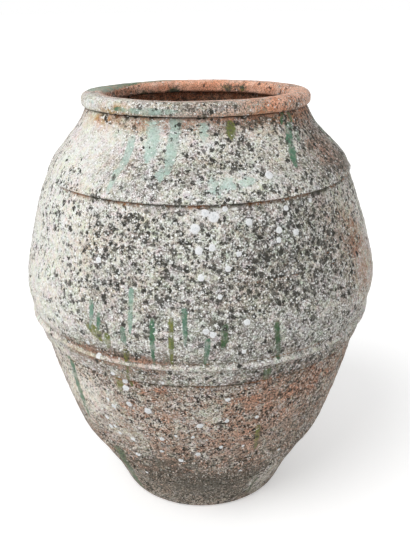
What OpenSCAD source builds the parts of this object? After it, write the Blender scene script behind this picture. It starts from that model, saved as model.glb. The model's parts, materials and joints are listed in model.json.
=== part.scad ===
// Large earthenware olive jar, raised by a potter in stages from a round floor slab.
// Each stage of wall is one ring of clay, seated on the finger groove of the ring below.
// A strap of clay covers the belly joint, and a rolled rim closes the neck.
// The jar stands on the plane z = 0, with its axis on Z.
// Heights are given from stage to stage, and radii from the foot up and from the belly up.

/* [Foot] */
// Radius of the underside at the ground
base_r = 185; // [175:1:195]
// Rounding of the edge that stands on the ground
base_round = 10; // [4:1:14]
// Thickness of the floor slab
floor_t = 28; // [22:1:34]
// Height of the joint between the foot and the lower wall
foot_h = 128; // [115:1:140]
// How far the wall flares out over the lower half of the foot
foot_flare = 29; // [22:1:34]
// How far it flares out over the upper half of the foot
waist_flare = 34; // [28:1:40]

/* [Lower wall] */
// Height of the bulge above the foot joint
bulge_h = 54; // [44:1:64]
// How far the wall flares out over that bulge
bulge_flare = 32; // [26:1:38]
// Height from the foot joint to the joint half way up the lower wall
lower_h = 162; // [145:1:175]
// How far the wall flares out from the bulge to that joint
lower_flare = 36; // [28:1:42]
// Height from that joint to the lower edge of the band
lower_belly_h = 117; // [105:1:130]

/* [Belly band] */
// Height of the band from edge to edge
band_h = 50; // [42:1:58]
// How far the band stands proud of the wall
band_proud = 4; // [2:0.5:6]
// Depth of the seat that the band is pressed into
band_seat = 6; // [4:0.5:8]
// How much further the bead along the upper edge stands proud
bead_proud = 2.5; // [1:0.5:4]
// Height of that bead
bead_h = 12; // [8:1:16]

/* [Belly] */
// Outer radius at the widest place
belly_r = 371; // [362:1:380]
// Height of the widest place above the lower edge of the band
belly_rise = 100; // [90:1:110]
// How far the wall comes in from the widest place down to the lower edge of the band
band_in = 25; // [18:1:32]
// Height from the widest place to the joint above it
belly_h = 103; // [90:1:115]
// How far the wall comes in from the widest place up to that joint
belly_in = 17; // [12:1:24]
// Height from that joint to the ledge under the shoulder
upper_belly_h = 130; // [115:1:145]
// How far the wall comes in over that height
upper_belly_in = 44; // [36:1:52]

/* [Shoulder] */
// How far the lip of the shoulder stands out at the ledge
ledge_step = 4; // [2:0.5:6]
// Height over which that lip runs out into the shoulder
ledge_run = 34; // [24:1:44]
// Rounding of the lip
lip_round = 3; // [1:0.5:4]
// Thickness of the skirt that hangs outside the belly wall
skirt_t = 9; // [6:0.5:12]
// Height of the lap
lap_h = 16; // [10:1:20]
// Height from the ledge to where the shoulder turns inwards
turn_h = 25; // [18:1:32]
// How far the wall comes in up to that turn
turn_in = 10.5; // [7:0.5:14]
// Height of the lower half of the slope above the turn
slope_h = 36; // [28:1:44]
// How far the wall comes in over it
slope_in = 31.5; // [25:0.5:38]
// Height of the upper half of the slope, up to the neck joint
slope_top_h = 42; // [34:1:50]
// How far the wall comes in over it
slope_top_in = 30; // [24:1:36]

/* [Neck and rim] */
// Height of the neck ring above its joint
neck_h = 30; // [24:1:36]
// How far the neck comes in towards the rim
neck_in = 15; // [10:1:20]
// How far the rim stands out past the top of the neck
rim_out = 8; // [4:1:12]
// Width of the rim from its outer edge to the mouth
rim_w = 45; // [40:1:50]
// Thickness of the rolled rim from its underside to its top
rim_h = 27; // [24:1:32]
// Rounding of the rim's upper outer edge
rim_round = 13; // [9:1:14]
// Rounding of the rim's lower outer edge
rim_under_round = 8; // [4:1:10]
// Rounding of the mouth's upper edge
mouth_round = 13; // [8:1:14]
// Rounding of the mouth's lower edge
mouth_under_round = 8; // [3:1:10]
// Height of the tongue on the neck ring that the rim is pressed over
tongue_h = 8; // [6:1:11]
// Width of that tongue at its foot
tongue_w = 11; // [8:1:14]

/* [Wall] */
// Thickness of the wall at the floor
wall_low_t = 30; // [26:1:34]
// Thickness of the wall at the top of the neck
wall_top_t = 23; // [20:1:26]
// Width of the finger groove in each joint
groove_w = 12; // [8:1:15]
// Depth of the finger groove
groove_d = 4; // [2:0.5:6]

/* [Hidden] */
$fn = 180;
row_h = 9;          // tallest step between two points of a wall outline
round_steps = 6;    // segments in a rounded edge
groove_steps = 8;   // segments across a finger groove
slope_probe = 0.5;  // height above and below a point over which the wall's lean is taken
rebate_taper = 1;   // how much narrower the top of the lap is than its foot

// Heights of the joints and edges, stage by stage from the ground
foot_joint_z = foot_h;
lower_joint_z = foot_joint_z + lower_h;
band_z = lower_joint_z + lower_belly_h;
band_joint_z = band_z + band_h / 2;
band_top_z = band_z + band_h;
belly_z = band_z + belly_rise;
upper_joint_z = belly_z + belly_h;
ledge_z = upper_joint_z + upper_belly_h;
turn_z = ledge_z + turn_h;
neck_z = turn_z + slope_h + slope_top_h;
neck_top_z = neck_z + neck_h;

// Outer radii: the foot's are built up from the base, the others from the widest place
foot_r = base_r + foot_flare;
foot_joint_r = foot_r + waist_flare;
bulge_r = foot_joint_r + bulge_flare;
ledge_r = belly_r - belly_in - upper_belly_in;
slope_r = ledge_r - turn_in - slope_in;
neck_r = slope_r - slope_top_in;
neck_top_r = neck_r - neck_in;
rim_r = neck_top_r + rim_out;
mouth_r = rim_r - rim_w;

// Height and outer radius at each place that sets the jar's outline
stations = [
    [0, base_r],
    [foot_joint_z / 2, foot_r],
    [foot_joint_z, foot_joint_r],
    [foot_joint_z + bulge_h, bulge_r],
    [lower_joint_z, bulge_r + lower_flare],
    [band_z, belly_r - band_in],
    [belly_z, belly_r],
    [upper_joint_z, belly_r - belly_in],
    [ledge_z, ledge_r],
    [turn_z, ledge_r - turn_in],
    [turn_z + slope_h, slope_r],
    [neck_z, neck_r],
    [neck_top_z, neck_top_r]
];
last = len(stations) - 1;

// Slope of the outline at a station: the change of radius with height between its neighbours
function station_slope(i) =
    let (a = stations[max(i - 1, 0)], b = stations[min(i + 1, last)])
    (b[1] - a[1]) / (b[0] - a[0]);

// The stretch of outline between two stations that a height falls in
function stretch(z) = max([for (i = [0 : last - 1]) if (i == 0 || z >= stations[i][0]) i]);

// Outer radius of the plain wall at a height: a cubic curve through the stations
function wall_r(z) =
    let (
        i = stretch(z),
        h = stations[i + 1][0] - stations[i][0],
        t = (z - stations[i][0]) / h
    )
    stations[i][1] * (1 - t) * (1 - t) * (1 + 2 * t)
    + stations[i + 1][1] * t * t * (3 - 2 * t)
    + station_slope(i) * h * t * (1 - t) * (1 - t)
    - station_slope(i + 1) * h * t * t * (1 - t);

// Unit vector out of the wall at a height, as [radius, height]
function wall_normal(z) =
    let (dr = (wall_r(z + slope_probe) - wall_r(z - slope_probe)) / (2 * slope_probe))
    [1, -dr] / norm([1, -dr]);

function wall_t(z) = wall_low_t + (wall_top_t - wall_low_t) * z / neck_top_z;

// A point of the outline, moved out of the wall by the given amount
function outer_point(z, proud = 0) = [wall_r(z), z] + proud * wall_normal(z);
function inner_point(z) = outer_point(z, -wall_t(z));

// Heights from one end of a stretch to the other, in even steps no taller than row_h
function heights(z0, z1) =
    let (n = max(2, ceil(abs(z1 - z0) / row_h)))
    [for (i = [0 : n]) z0 + (z1 - z0) * i / n];

function outer_line(z0, z1, proud = 0) = [for (z = heights(z0, z1)) outer_point(z, proud)];
function inner_line(z1, z0) = [for (z = heights(z1, z0)) inner_point(z)];
function reversed(list) = [for (i = [len(list) - 1 : -1 : 0]) list[i]];
function after_first(list) = [for (i = [1 : len(list) - 1]) list[i]];

// Top of a wall ring from its outer edge p to its inner edge q, with a finger groove run round it
function seat_line(p, q) =
    let (
        along = (q - p) / norm(q - p),
        down = [-along[1], along[0]],
        edge = (norm(q - p) - groove_w) / 2
    )
    [for (i = [0 : groove_steps])
        p + along * (edge + groove_w * i / groove_steps)
          + down * groove_d * sin(180 * i / groove_steps)];

// A quarter of a rounded corner, from angle a0 to a1 about the centre c
function corner(c, r, a0, a1) =
    [for (i = [0 : round_steps])
        let (a = a0 + (a1 - a0) * i / round_steps) c + r * [cos(a), sin(a)]];

// One ring of wall: its outer line, the seat on its top, its inner line and the seat it stands on
module wall_ring(outer, top_seat, inner, bottom_seat) {
    rotate_extrude()
        polygon(concat(outer, top_seat, inner, reversed(bottom_seat)));
}

// Inner foot of the lowest ring, straight down from the wall's inner line to the slab
foot_inner = [inner_point(floor_t)[0], floor_t];
floor_seat = seat_line(outer_point(floor_t), foot_inner);

// The slab's edge is a quadratic curve from the ground into the foot's flare
module floor_slab() {
    side = outer_point(base_round);
    edge = [for (i = [0 : round_steps])
        let (t = i / round_steps)
        [base_r - base_round, 0] * (1 - t) * (1 - t)
        + [base_r, 0] * 2 * t * (1 - t)
        + side * t * t];
    color("rosybrown")
        rotate_extrude()
            polygon(concat(
                [[0, 0]],
                edge,
                after_first(outer_line(base_round, floor_t)),
                after_first(floor_seat),
                [foot_inner, [0, floor_t]]));
}

module foot_wall() {
    color("dimgray")
        wall_ring(
            outer_line(floor_t, foot_joint_z),
            seat_line(outer_point(foot_joint_z), inner_point(foot_joint_z)),
            concat(inner_line(foot_joint_z, floor_t), [foot_inner]),
            floor_seat);
}

// A plain ring between two joints
module middle_ring(z0, z1) {
    wall_ring(
        outer_line(z0, z1),
        seat_line(outer_point(z1), inner_point(z1)),
        inner_line(z1, z0),
        seat_line(outer_point(z0), inner_point(z0)));
}

module lower_wall() {
    color("rosybrown") middle_ring(foot_joint_z, lower_joint_z);
}

// The joint under the band starts at the bottom of the band's seat
band_joint_seat = seat_line(outer_point(band_joint_z, -band_seat), inner_point(band_joint_z));

module lower_belly_wall() {
    color("tan")
        wall_ring(
            concat(outer_line(lower_joint_z, band_z), outer_line(band_z, band_joint_z, -band_seat)),
            band_joint_seat,
            inner_line(band_joint_z, lower_joint_z),
            seat_line(outer_point(lower_joint_z), inner_point(lower_joint_z)));
}

// Strap of clay in its seat, with a bead along its upper edge and a step along its lower edge
module belly_band() {
    bead_z = band_top_z - bead_h;
    face = outer_line(band_z, bead_z, band_proud);
    bead = [for (i = [1 : round_steps])
        let (t = i / round_steps)
        outer_point(bead_z + bead_h * t, band_proud * (1 - pow(t, 3)) + bead_proud * sin(180 * t))];
    back = concat(
        outer_line(band_top_z, band_joint_z, -band_seat),
        after_first(outer_line(band_joint_z, band_z, -band_seat)));
    color("darkgray")
        rotate_extrude()
            polygon(concat(face, bead, back));
}

module belly_wall() {
    color("silver")
        wall_ring(
            concat(outer_line(band_joint_z, band_top_z, -band_seat), outer_line(band_top_z, upper_joint_z)),
            seat_line(outer_point(upper_joint_z), inner_point(upper_joint_z)),
            inner_line(upper_joint_z, band_joint_z),
            band_joint_seat);
}

// The lap: a rebate round the top of the belly wall, which the skirt of the shoulder hangs over
rebate_r = ledge_r - skirt_t;
lap_seat = [[rebate_r, ledge_z], [rebate_r - rebate_taper, ledge_z + lap_h]];

module upper_belly_wall() {
    color("silver")
        wall_ring(
            outer_line(upper_joint_z, ledge_z),
            lap_seat,
            inner_line(ledge_z + lap_h, upper_joint_z),
            seat_line(outer_point(upper_joint_z), inner_point(upper_joint_z)));
}

// How far the shoulder stands out of the plain outline, running out above the lip
function lip_proud(z) = ledge_step * pow(max(0, 1 - (z - ledge_z) / ledge_run), 2);

module shoulder_wall() {
    lip_r = ledge_r + ledge_step;
    lip = corner([lip_r - lip_round, ledge_z + lip_round], lip_round, -90, 0);
    face = [for (z = after_first(heights(ledge_z + lip_round, neck_z))) outer_point(z, lip_proud(z))];
    color("gainsboro")
        wall_ring(
            concat(lip, face),
            seat_line(outer_point(neck_z), inner_point(neck_z)),
            inner_line(neck_z, ledge_z + lap_h),
            lap_seat);
}

// The rim's seat on the neck: flat, with a tapered tongue in the middle
function tongue_line(p, q) =
    let (middle = (p[0] + q[0]) / 2)
    [[middle + tongue_w / 2, p[1]],
     [middle + tongue_w / 3, p[1] + tongue_h],
     [middle - tongue_w / 3, p[1] + tongue_h],
     [middle - tongue_w / 2, p[1]]];

neck_inner = [inner_point(neck_top_z)[0], neck_top_z];
rim_seat = tongue_line([neck_top_r, neck_top_z], neck_inner);

module neck_ring() {
    color("darksalmon")
        wall_ring(
            outer_line(neck_z, neck_top_z),
            concat(rim_seat, [neck_inner]),
            inner_line(neck_top_z, neck_z),
            seat_line(outer_point(neck_z), inner_point(neck_z)));
}

module rim_roll() {
    z0 = neck_top_z;
    z1 = neck_top_z + rim_h;
    color("lightsalmon")
        rotate_extrude()
            polygon(concat(
                corner([rim_r - rim_under_round, z0 + rim_under_round], rim_under_round, -90, 0),
                corner([rim_r - rim_round, z1 - rim_round], rim_round, 0, 90),
                corner([mouth_r + mouth_round, z1 - mouth_round], mouth_round, 90, 180),
                corner([mouth_r + mouth_under_round, z0 + mouth_under_round], mouth_under_round, 180, 270),
                reversed(rim_seat)));
}

floor_slab();
foot_wall();
lower_wall();
lower_belly_wall();
belly_band();
belly_wall();
upper_belly_wall();
shoulder_wall();
neck_ring();
rim_roll();
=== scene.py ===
import json
import math
import bpy
import numpy as np
from mathutils import Matrix, Vector


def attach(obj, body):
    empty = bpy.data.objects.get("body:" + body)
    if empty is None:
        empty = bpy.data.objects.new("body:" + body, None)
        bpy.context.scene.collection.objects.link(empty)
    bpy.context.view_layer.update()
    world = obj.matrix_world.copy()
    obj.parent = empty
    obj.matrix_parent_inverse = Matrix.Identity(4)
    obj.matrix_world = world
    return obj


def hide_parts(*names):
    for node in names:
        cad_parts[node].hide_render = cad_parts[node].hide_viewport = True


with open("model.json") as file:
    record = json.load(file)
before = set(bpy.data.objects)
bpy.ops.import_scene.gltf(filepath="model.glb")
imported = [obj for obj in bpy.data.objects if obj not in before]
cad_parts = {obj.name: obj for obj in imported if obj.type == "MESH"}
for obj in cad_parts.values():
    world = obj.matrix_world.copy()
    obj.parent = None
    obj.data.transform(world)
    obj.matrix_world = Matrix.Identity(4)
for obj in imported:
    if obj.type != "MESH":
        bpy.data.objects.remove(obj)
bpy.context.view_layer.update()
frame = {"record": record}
print("stage: frame loaded")

# Lengths are in metres and angles in degrees. An angle round the jar is 0 at the front, where -Y points,
# and grows towards +X, which is the right of the picture.

# Camera: it looks along +Y, down and a little rolled, from where the photograph was taken
viewpoint = {
    "place": (0.0113, -1.488, 1.088),
    "pitchDown": 21.88,
    "roll": -0.65,
    "lens": 47.28,          # mm, for a picture 36 mm tall
    "sensor": 36.0,
    "imageWide": 410,
    "imageTall": 547,
}


def cameraTurn():
    pitch = Matrix.Rotation(math.radians(90 - viewpoint["pitchDown"]), 4, "X")
    roll = Matrix.Rotation(math.radians(viewpoint["roll"]), 4, "Z")
    return pitch @ roll


def makeCamera():
    camera = bpy.data.objects.new("photoCamera", bpy.data.cameras.new("photoCamera"))
    bpy.context.collection.objects.link(camera)
    camera.data.sensor_fit = "VERTICAL"
    camera.data.sensor_height = viewpoint["sensor"]
    camera.data.lens = viewpoint["lens"]
    camera.data.clip_end = 100
    camera.matrix_world = Matrix.Translation(viewpoint["place"]) @ cameraTurn()
    bpy.context.scene.camera = camera


# Outline of the plain wall, as the solids have it: heights and outer radii, foot to neck
jarOutline = {
    "heights": [0, 0.064, 0.128, 0.182, 0.290, 0.407, 0.507, 0.610, 0.740, 0.765, 0.801, 0.843, 0.873],
    "radii": [0.185, 0.214, 0.248, 0.280, 0.316, 0.346, 0.371, 0.354, 0.310, 0.2995, 0.268, 0.238, 0.223],
    "wallLow": 0.030,
    "wallTop": 0.023,
}


def wallRadius(z):
    # Cubic curve through the outline's points; the slope at each is taken from its two neighbours
    h = np.array(jarOutline["heights"])
    r = np.array(jarOutline["radii"])
    before = np.maximum(np.arange(len(h)) - 1, 0)
    after = np.minimum(np.arange(len(h)) + 1, len(h) - 1)
    slope = (r[after] - r[before]) / (h[after] - h[before])
    i = np.clip(np.searchsorted(h, z, side="right") - 1, 0, len(h) - 2)
    step = h[i + 1] - h[i]
    t = (z - h[i]) / step
    return (r[i] * (1 - t) ** 2 * (1 + 2 * t) + r[i + 1] * t ** 2 * (3 - 2 * t)
            + slope[i] * step * t * (1 - t) ** 2 - slope[i + 1] * step * t ** 2 * (1 - t))


def outerPoints(z, proud=0.0):
    # Points of the outline at heights z, moved out along the wall's normal by proud: rows of radius, height
    z = np.asarray(z, dtype=float)
    lean = (wallRadius(z + 0.0005) - wallRadius(z - 0.0005)) / 0.001
    size = np.sqrt(1 + lean ** 2)
    return np.stack([wallRadius(z) + proud / size, z - proud * lean / size], axis=-1)


def wallThickness(z):
    share = np.asarray(z, dtype=float) / jarOutline["heights"][-1]
    return jarOutline["wallLow"] + (jarOutline["wallTop"] - jarOutline["wallLow"]) * share


def innerPoints(z):
    return outerPoints(z, -wallThickness(z))


def onJar(px, py):
    # Angle and height of the place on the wall that shows at a pixel of the photograph: the first point of
    # the pixel's ray that is inside the outline
    focal = viewpoint["lens"] / viewpoint["sensor"] * viewpoint["imageTall"]
    ray = Vector(((px - viewpoint["imageWide"] / 2) / focal, -(py - viewpoint["imageTall"] / 2) / focal, -1.0))
    ray = np.array(cameraTurn().to_3x3() @ ray)
    distance = np.linspace(1.0, 2.2, 4801)
    points = np.array(viewpoint["place"]) + distance[:, None] * ray
    heights = np.clip(points[:, 2], 0, jarOutline["heights"][-1])
    inside = np.hypot(points[:, 0], points[:, 1]) < wallRadius(heights)
    hit = points[np.argmax(inside)] if inside.any() else points[np.argmin(np.hypot(points[:, 0], points[:, 1]))]
    return math.degrees(math.atan2(hit[0], -hit[1])), float(hit[2])


def smoothStep(low, high, value):
    t = np.clip((value - low) / (high - low), 0, 1)
    return t * t * (3 - 2 * t)


latticeBits = 6
lattice = np.random.default_rng(20).random(8 ** latticeBits).astype(np.float32)


def cellNoise(points, size, seed):
    # Smooth noise from 0 to 1: the corners of a lattice of the given size have random values, and a point
    # takes the smoothly weighted mean of the eight corners round it. The lattice repeats after 64 cells
    grid = (points / size + seed * np.array([17.31, 7.77, 29.13])).astype(np.float32)
    cell = np.floor(grid).astype(np.int32)
    t = grid - cell
    t = t * t * (3 - 2 * t)
    wrap = 2 ** latticeBits - 1
    index = [[((cell[:, axis] + step) & wrap) << (latticeBits * axis) for step in (0, 1)] for axis in range(3)]
    weight = [[1 - t[:, axis], t[:, axis]] for axis in range(3)]
    total = np.zeros(len(points), dtype=np.float32)
    for x in (0, 1):
        for y in (0, 1):
            plane = index[0][x] + index[1][y]
            share = weight[0][x] * weight[1][y]
            for z in (0, 1):
                total += share * weight[2][z] * lattice[plane + index[2][z]]
    return total


def clayNoise(points, size, seed, octaves=3):
    # Sum of noises, each half the size and a little over half the strength of the last, from -1 to 1
    total = np.zeros(len(points))
    strength = 1.0
    reach = 0.0
    for octave in range(octaves):
        total += strength * (cellNoise(points, size / 2 ** octave, seed + octave) * 2 - 1)
        reach += strength
        strength *= 0.55
    return total / reach


# Runs of glaze: the pixels of the photograph that each passes through, its width, and its tone from
# 0, pale mint, through 0.4, emerald, and 0.7, olive, to 1, dark green
glazeRuns = [
    {"path": [(133, 139), (131, 146), (128, 155), (124, 163), (117, 172), (112, 183), (108, 193)], "width": 0.014, "tone": 0.04},
    {"path": [(155, 128), (153, 140), (150, 152), (148, 160)], "width": 0.024, "tone": 0.02, "thin": 0.55},
    {"path": [(177, 124), (176, 134), (173, 146), (170, 160), (167, 173)], "width": 0.020, "tone": 0.06},
    {"path": [(161, 172), (160, 181)], "width": 0.014, "tone": 0.02, "thin": 0.5},
    {"path": [(205, 126), (205, 140)], "width": 0.012, "tone": 0.05, "thin": 0.5},
    {"path": [(232, 124), (232, 132), (233, 139)], "width": 0.015, "tone": 0.68, "thin": 0.6},
    {"path": [(284, 112), (283, 123)], "width": 0.008, "tone": 0.45},
    {"path": [(290, 125), (291, 140), (293, 155), (296, 166)], "width": 0.016, "tone": 0.38},
    {"path": [(215, 187), (226, 183), (233, 186)], "width": 0.024, "tone": 0.0, "thin": 0.45},
    {"path": [(244, 182), (254, 180)], "width": 0.016, "tone": 0.0, "thin": 0.45},
    {"path": [(291, 113), (293, 120)], "width": 0.010, "tone": 0.5, "thin": 0.6},
    {"path": [(299, 130), (300, 140)], "width": 0.009, "tone": 0.4, "thin": 0.5},
    {"path": [(91, 302), (91, 314), (90, 328)], "width": 0.009, "tone": 0.27},
    {"path": [(98, 315), (98, 330)], "width": 0.008, "tone": 0.35},
    {"path": [(91, 328), (96, 333), (100, 340)], "width": 0.020, "tone": 0.70},
    {"path": [(106, 336), (108, 348)], "width": 0.012, "tone": 0.68},
    {"path": [(122, 330), (123, 338), (125, 345)], "width": 0.010, "tone": 0.33},
    {"path": [(131, 290), (130, 312), (130, 334)], "width": 0.009, "tone": 0.20},
    {"path": [(126, 352), (126, 361)], "width": 0.011, "tone": 0.72},
    {"path": [(128, 366), (129, 376), (132, 386)], "width": 0.009, "tone": 0.88},
    {"path": [(119, 378), (121, 390)], "width": 0.015, "tone": 0.78},
    {"path": [(152, 321), (152, 345), (154, 364)], "width": 0.009, "tone": 0.40},
    {"path": [(171, 320), (171, 345), (172, 365)], "width": 0.009, "tone": 0.68},
    {"path": [(184, 311), (185, 330), (185, 346)], "width": 0.009, "tone": 0.34},
    {"path": [(208, 341), (207, 353), (205, 365)], "width": 0.009, "tone": 0.40},
    {"path": [(225, 328), (225, 338), (223, 350)], "width": 0.013, "tone": 0.98},
    {"path": [(277, 325), (278, 342), (278, 361)], "width": 0.010, "tone": 1.0},
    {"path": [(277, 361), (276, 374)], "width": 0.007, "tone": 0.75},
    {"path": [(267, 370), (264, 380)], "width": 0.017, "tone": 0.95},
    {"path": [(258, 427), (257, 438), (255, 448)], "width": 0.010, "tone": 0.80},
    {"path": [(71, 358), (75, 376), (82, 398), (90, 416)], "width": 0.015, "tone": 0.42},
    {"path": [(75, 372), (80, 388), (86, 404)], "width": 0.006, "tone": 0.45},
    {"path": [(120, 450), (127, 464), (134, 476), (142, 486)], "width": 0.024, "tone": 0.52, "thin": 0.7},
    {"path": [(257, 478), (251, 486), (245, 494)], "width": 0.007, "tone": 0.95},
]

# White lichen rosettes: pixels of their centres and their radii on the jar
rosettes = [
    (214, 217, 11), (205, 213, 8), (195, 229, 10), (199, 251, 8), (212, 248, 7), (225, 209, 6), (249, 222, 7),
    (239, 254, 6), (201, 278, 7), (228, 269, 6), (220, 297, 5), (269, 175, 9), (286, 208, 6), (310, 200, 5),
    (279, 230, 7), (296, 232, 7), (279, 240, 6), (99, 260, 7), (100, 356, 8), (114, 372, 7), (125, 381, 7),
    (126, 388, 8), (206, 332, 7), (213, 335, 7), (247, 322, 7), (244, 352, 5), (163, 382, 6), (148, 411, 9),
    (228, 400, 6), (129, 404, 7), (114, 406, 7), (107, 417, 6), (111, 426, 6), (115, 426, 5), (120, 433, 5),
    (133, 439, 6), (162, 439, 6), (162, 451, 5), (138, 454, 7), (181, 460, 6), (147, 472, 4), (200, 426, 8),
    (227, 421, 5), (257, 417, 5), (221, 447, 5), (198, 454, 6), (240, 470, 5), (279, 449, 5), (88, 343, 5),
    (108, 399, 5), (99, 372, 5), (176, 436, 4), (193, 437, 4), (207, 440, 3), (243, 446, 4),
]

# Finger grooves that show in the photograph: picture row at the middle of the jar, depth and half height
grooves = [
    (236, 0.0009, 0.0030), (273, 0.0013, 0.0030), (286, 0.0018, 0.0026), (303, 0.0013, 0.0026),
    (314, 0.0014, 0.0030), (324, 0.0014, 0.0028), (333, 0.0014, 0.0026), (351, 0.0022, 0.0028),
    (213, 0.0006, 0.0030), (399, 0.0008, 0.0030), (420, 0.0007, 0.0030), (441, 0.0008, 0.0030),
]

# Soft unevenness of the wall, all as heights in metres
unevenness = {
    "swell": 0.0030,        # broad hollows and swellings, a hand wide or more
    "dent": 0.0011,         # finger-sized dents
    "rough": 0.0006,        # pitted and crusted skin
    "throwing": 0.0006,     # rings left by the fingers on the belly
    "throwingGap": 0.0205,  # from one ring to the next
    "footRidge": 0.0013,    # fine ridges round the foot joint
    "footRidgeGap": 0.0085,
    "rosette": 0.0011,      # how far a rosette stands out
    "glaze": 0.0008,        # how far a run of glaze stands out
}

# Lines where one stage meets the next: how far each reaches below and above its height, how deep it is pressed, and how
# much dirt and painted shade darken it. A negative depth stands out, and a negative darkening is a worn, pale edge,
# partly a painted highlight
edgeLines = {
    "ledge": {"height": 0.7400, "below": 0.0105, "above": 0.0026, "depth": 0.0022, "dirtAndShade": 1.05, "fades": (-78, 20)},
    "bandTop": {"height": 0.4585, "below": 0.0015, "above": 0.0060, "depth": 0.0012, "dirtAndShade": 0.75},
    "bead": {"height": 0.4515, "below": 0.0050, "above": 0.0045, "depth": -0.0024, "dirtAndShade": -0.9},
    "bandFoot": {"height": 0.4065, "below": 0.0060, "above": 0.0020, "depth": 0.0030, "dirtAndShade": 2.2},
    "underRim": {"height": 0.8730, "below": 0.0040, "above": 0.0010, "depth": 0.0006, "dirtAndShade": 0.7},
}

# Where the wall is out of true: angle, height, half width in degrees, half height, and how far it stands out
lumps = [
    (68, 0.825, 30, 0.026, -0.0038), (68, 0.768, 28, 0.016, 0.0022), (68, 0.540, 32, 0.050, 0.0040),
    (-66, 0.695, 32, 0.045, 0.0050), (-66, 0.805, 30, 0.022, 0.0036), (150, 0.60, 40, 0.090, 0.0035),
    (215, 0.34, 36, 0.070, -0.0030),
]

# Pits in the clay under the rim: pixels of their centres, and radii in millimetres
pits = [(118, 115, 4.5), (128, 116, 5), (137, 116, 3.5), (104, 113, 3), (152, 118, 3), (262, 122, 3.5), (276, 118, 3)]

# The mouth sags towards the back and left, where the clay was softer when it was set down
mouthSag = {"from": 0.790, "to": 0.873, "back": 0.014, "left": 0.003}

meshSteps = {"around": 900, "outside": 0.0024, "inside": 0.011, "seat": 0.008}


def turnedPoints(angle, radius, height):
    # Points on circles about the jar's axis: angle in radians from the front
    return np.stack([radius * np.sin(angle), -radius * np.cos(angle), height], axis=-1)


def settleMouth(points):
    # Lowers the back of the neck and rim, and moves them to the left, by shares that grow with height
    share = smoothStep(mouthSag["from"], mouthSag["to"], points[:, 2])
    backness = np.clip(0.5 + points[:, 1] / 0.46, 0, 1)
    settled = points.copy()
    settled[:, 2] -= mouthSag["back"] * backness * share
    settled[:, 0] -= mouthSag["left"] * share
    return settled


def distanceToRun(points, run):
    # Distance from points to a run's path, and how far down the path they lie, from 0 to 1
    angles, heights = np.array(run["places"]).T
    path = turnedPoints(np.radians(angles), wallRadius(heights), heights)
    near = np.full(len(points), 9.0)
    down = np.zeros(len(points))
    for i in range(len(path) - 1):
        along = path[i + 1] - path[i]
        t = np.clip((points - path[i]) @ along / (along @ along), 0, 1)
        gap = np.linalg.norm(points - path[i] - t[:, None] * along, axis=1)
        closer = gap < near
        near = np.where(closer, gap, near)
        down = np.where(closer, (i + t) / (len(path) - 1), down)
    return near, down


def madeRuns(seed, count, fromAngle, toAngle):
    # More runs for the sides that the photograph doesn't show: short ones from the neck, longer ones
    # down the belly to the band, and a few under it
    dice = np.random.default_rng(seed)
    runs = []
    for i in range(count):
        angle = fromAngle + (toAngle - fromAngle) * (i + dice.uniform(0.1, 0.9)) / count
        top = (0.845, 0.545, 0.430)[i % 3] + dice.uniform(-0.012, 0.012)
        length = dice.uniform(0.030, (0.090, 0.095, 0.060)[i % 3])
        drift = dice.uniform(-2.0, 2.0)
        places = [(angle + drift * t, top - length * t) for t in (0, 0.5, 1)]
        runs.append({"places": places, "width": dice.uniform(0.007, 0.015), "tone": dice.uniform(0, 1)})
    return runs


def madeRosettes(seed, count, fromAngle, toAngle):
    # Rosettes for the other sides: an angle, a height and a radius in millimetres for each
    dice = np.random.default_rng(seed)
    angles = dice.uniform(fromAngle, toAngle, count)
    heights = 0.13 + 0.66 * dice.beta(1.6, 1.4, count)
    radii = 3.0 + 7.0 * dice.beta(1.3, 2.6, count)
    return list(zip(angles, heights, radii))


seenRuns = [{**run, "places": [onJar(px, py) for px, py in run["path"]]} for run in glazeRuns]
allRuns = seenRuns + madeRuns(5, 26, 78, 278)
seenPits = [onJar(px, py) + (radius / 1000,) for px, py, radius in pits]
seenRosettes = [onJar(px, py) + (radius,) for px, py, radius in rosettes]
allRosettes = seenRosettes + madeRosettes(11, 150, 70, 290)


def runMask(points, angle, height):
    # How far inside a run of glaze each point is: 1 on its middle line, 0 at its edge, below 0 outside it.
    # A run tapers to its lower end. Also the tone of the nearest run
    mask = np.full(len(points), -1.0)
    tone = np.zeros(len(points))
    for run in allRuns:
        angles, heights = np.array(run["places"]).T
        turn = np.abs((angle - math.radians(angles.mean()) + math.pi) % (2 * math.pi) - math.pi)
        close = (turn < 0.5) & (height > heights.min() - 0.03) & (height < heights.max() + 0.03)
        if not close.any():
            continue
        gap, down = distanceToRun(points[close], run)
        halfWidth = run["width"] / 2 * (1.0 - 0.55 * down ** 4)
        value = (1 - gap / halfWidth) * run.get("thin", 1.0)
        value = np.where(value > -1, value, -1.0)
        picked = value > mask[close]
        mask[close] = np.where(picked, value, mask[close])
        tone[close] = np.where(picked, run["tone"], tone[close])
    return mask, tone


def rosetteMask(points, angle, height):
    # 1 at the middle of a rosette, 0 at its edge, below 0 outside it
    mask = np.full(len(points), -1.0)
    for turnAngle, z, radius in allRosettes:
        size = radius / 1000
        middle = math.radians(turnAngle)
        turn = np.abs((angle - middle + math.pi) % (2 * math.pi) - math.pi)
        close = (np.abs(height - z) < 2.2 * size) & (turn < 2.2 * size / 0.18)
        if not close.any():
            continue
        centre = turnedPoints(np.array([middle]), wallRadius(np.array([z])), np.array([z]))
        gap = np.linalg.norm(points[close] - centre, axis=1)
        mask[close] = np.maximum(mask[close], np.maximum(1 - gap / size, -1))
    return mask
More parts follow.
